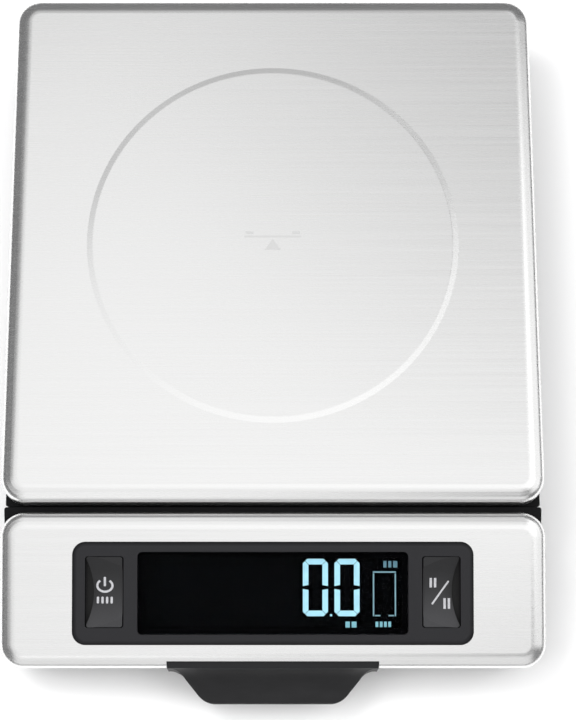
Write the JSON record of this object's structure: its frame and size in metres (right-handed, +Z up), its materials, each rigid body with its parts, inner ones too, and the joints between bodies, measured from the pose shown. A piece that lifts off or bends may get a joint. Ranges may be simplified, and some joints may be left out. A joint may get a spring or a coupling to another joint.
{
  "type": "kitchen scale",
  "caption": "Low square kitchen scale with a lift-off brushed steel platform and a display head that pulls out forward on a tongue.",
  "frame": {"origin": "centre of the footprint, at the level of the feet", "axes": "+Y from the display head towards the platform's back edge, +Z up, +X to the user's right"},
  "size_m": [0.2128, 0.288, 0.038],
  "materials": {
    "steel_brushed": "fine brushed stainless",
    "housing_black": "fine moulded grain",
    "bezel_charcoal": "satin",
    "key_charcoal": "satin, scooped",
    "tab_black": "soft-touch",
    "tongue_black": "smooth, low friction",
    "tray_grey": "ribbed moulding",
    "liner_grey": "moulded",
    "rail_acetal": "natural acetal",
    "foot_rubber": "matte",
    "pad_silicone": "soft silicone",
    "gauge_silicone": "cast silicone",
    "cell_aluminium": "milled",
    "screw_zinc": "zinc plated",
    "spring_steel": "spring steel",
    "contact_nickel": "nickel plated",
    "battery_label": "plain printed sleeve",
    "board_green": "solder mask",
    "chip_black": "moulded",
    "switch_black": "moulded",
    "plunger_white": "moulded",
    "cable_jacket": "PVC",
    "lead_red": "PVC",
    "ribbon_white": "flat flexible cable",
    "lens_clear": "clear polished acrylic",
    "lcd_dark": "negative display glass",
    "lcd_lit": "lit marks",
    "light_white": "light guide",
    "holder_white": "moulded",
    "zebra_pink": "conductive elastomer"
  },
  "bodies": {
    "base": {"base_shell": "housing_black", "base_cover": "housing_black", "base_screws": "screw_zinc", "rubber_feet": "foot_rubber", "guide_rails": "rail_acetal", "guide_rail_screws": "screw_zinc", "detent_springs": "spring_steel", "load_cell": "cell_aluminium", "gauge_covers": "gauge_silicone", "load_cell_spacer": "screw_zinc", "load_cell_screws": "screw_zinc", "load_cell_cable": "cable_jacket", "batteries": "battery_label", "battery_springs": "contact_nickel", "battery_contacts": "contact_nickel", "battery_leads": "lead_red", "base_board": "board_green", "base_board_parts": "chip_black", "base_board_screws": "screw_zinc", "ribbon_cable": "ribbon_white"},
    "weighing_tray": {"weigh_tray": "tray_grey", "tray_spacer": "screw_zinc", "tray_screws": "screw_zinc", "platform_pads": "pad_silicone"},
    "platform": {"platform_plate": "steel_brushed", "platform_liner": "liner_grey"},
    "display_head": {"slide_tongue": "tongue_black", "tongue_screws": "screw_zinc", "stop_bumpers": "foot_rubber", "head_cover": "steel_brushed", "display_bezel": "bezel_charcoal", "display_lens": "lens_clear", "lcd_glass": "lcd_dark", "lcd_segments": "lcd_lit", "lcd_backlight": "light_white", "lcd_holder": "holder_white", "zebra_strip": "zebra_pink", "display_board": "board_green", "display_board_parts": "chip_black", "display_board_screws": "screw_zinc", "tact_switches": "switch_black", "head_housing": "housing_black", "head_screws": "screw_zinc", "pull_tab": "tab_black", "pull_tab_screws": "screw_zinc"},
    "power_button": {"power_key": "key_charcoal", "power_switch_plunger": "plunger_white"},
    "unit_button": {"unit_key": "key_charcoal", "unit_switch_plunger": "plunger_white"},
    "battery_hatch": {"battery_door": "housing_black"}
  },
  "joints": [
    {"name": "weigh_travel", "type": "slide", "parent": "base", "child": "weighing_tray", "axis": [0, 0, -1], "range_m": [0, 0.0006], "stiffness_N_per_m": 90000, "deforming": ["load_cell", "gauge_covers"]},
    {"name": "platform_lift", "type": "slide", "parent": "weighing_tray", "child": "platform", "axis": [0, 0, 1], "range_m": [0, 0.06]},
    {"name": "head_slide", "type": "slide", "parent": "base", "child": "display_head", "axis": [0, -1, 0], "range_m": [0, 0.095], "deforming": ["ribbon_cable", "detent_springs"]},
    {"name": "power_press", "type": "slide", "parent": "display_head", "child": "power_button", "axis": [0, 0.2079, -0.9781], "range_m": [0, 0.0005], "stiffness_N_per_m": 3000},
    {"name": "unit_press", "type": "slide", "parent": "display_head", "child": "unit_button", "axis": [0, 0.2079, -0.9781], "range_m": [0, 0.0005], "stiffness_N_per_m": 3000},
    {"name": "battery_hinge", "type": "hinge", "parent": "base", "child": "battery_hatch", "pos_m": [0, 0.0898, 0.0029], "axis": [-1, 0, 0], "range_deg": [0, 95]}
  ]
}
